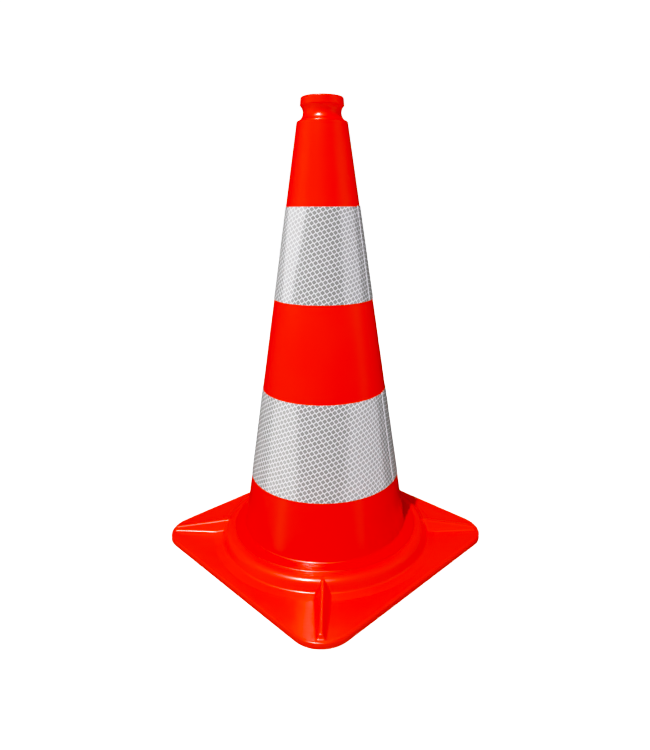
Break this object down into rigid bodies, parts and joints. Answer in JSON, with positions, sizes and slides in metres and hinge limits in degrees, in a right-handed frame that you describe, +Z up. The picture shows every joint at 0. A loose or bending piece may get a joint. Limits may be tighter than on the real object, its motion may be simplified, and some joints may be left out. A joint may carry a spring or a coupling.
{
  "type": "traffic cone",
  "caption": "Traffic cone of soft PVC on a weighted square base with corner ribs, an open grip neck and lapped reflective bands.",
  "frame": {"origin": "centre of the square base's footprint, on the floor", "axes": "+Z up along the cone's axis; the base's sides lie along X and Y"},
  "size_m": [0.415, 0.415, 0.749],
  "materials": {
    "cone_pvc": "satin to gloss soft PVC, fluorescent red-orange",
    "base_pvc": "satin to gloss soft PVC, fluorescent red-orange",
    "ballast_pvc": "matt black recycled PVC with a coarse grain",
    "reflective_sheeting": "smooth clear film over silver-white prisms with a white seal lattice"
  },
  "bodies": {
    "root": {"cone_body": "cone_pvc", "base_cover": "base_pvc", "ballast_plate": "ballast_pvc", "upper_reflective_band": "reflective_sheeting", "lower_reflective_band": "reflective_sheeting"}
  },
  "joints": []
}
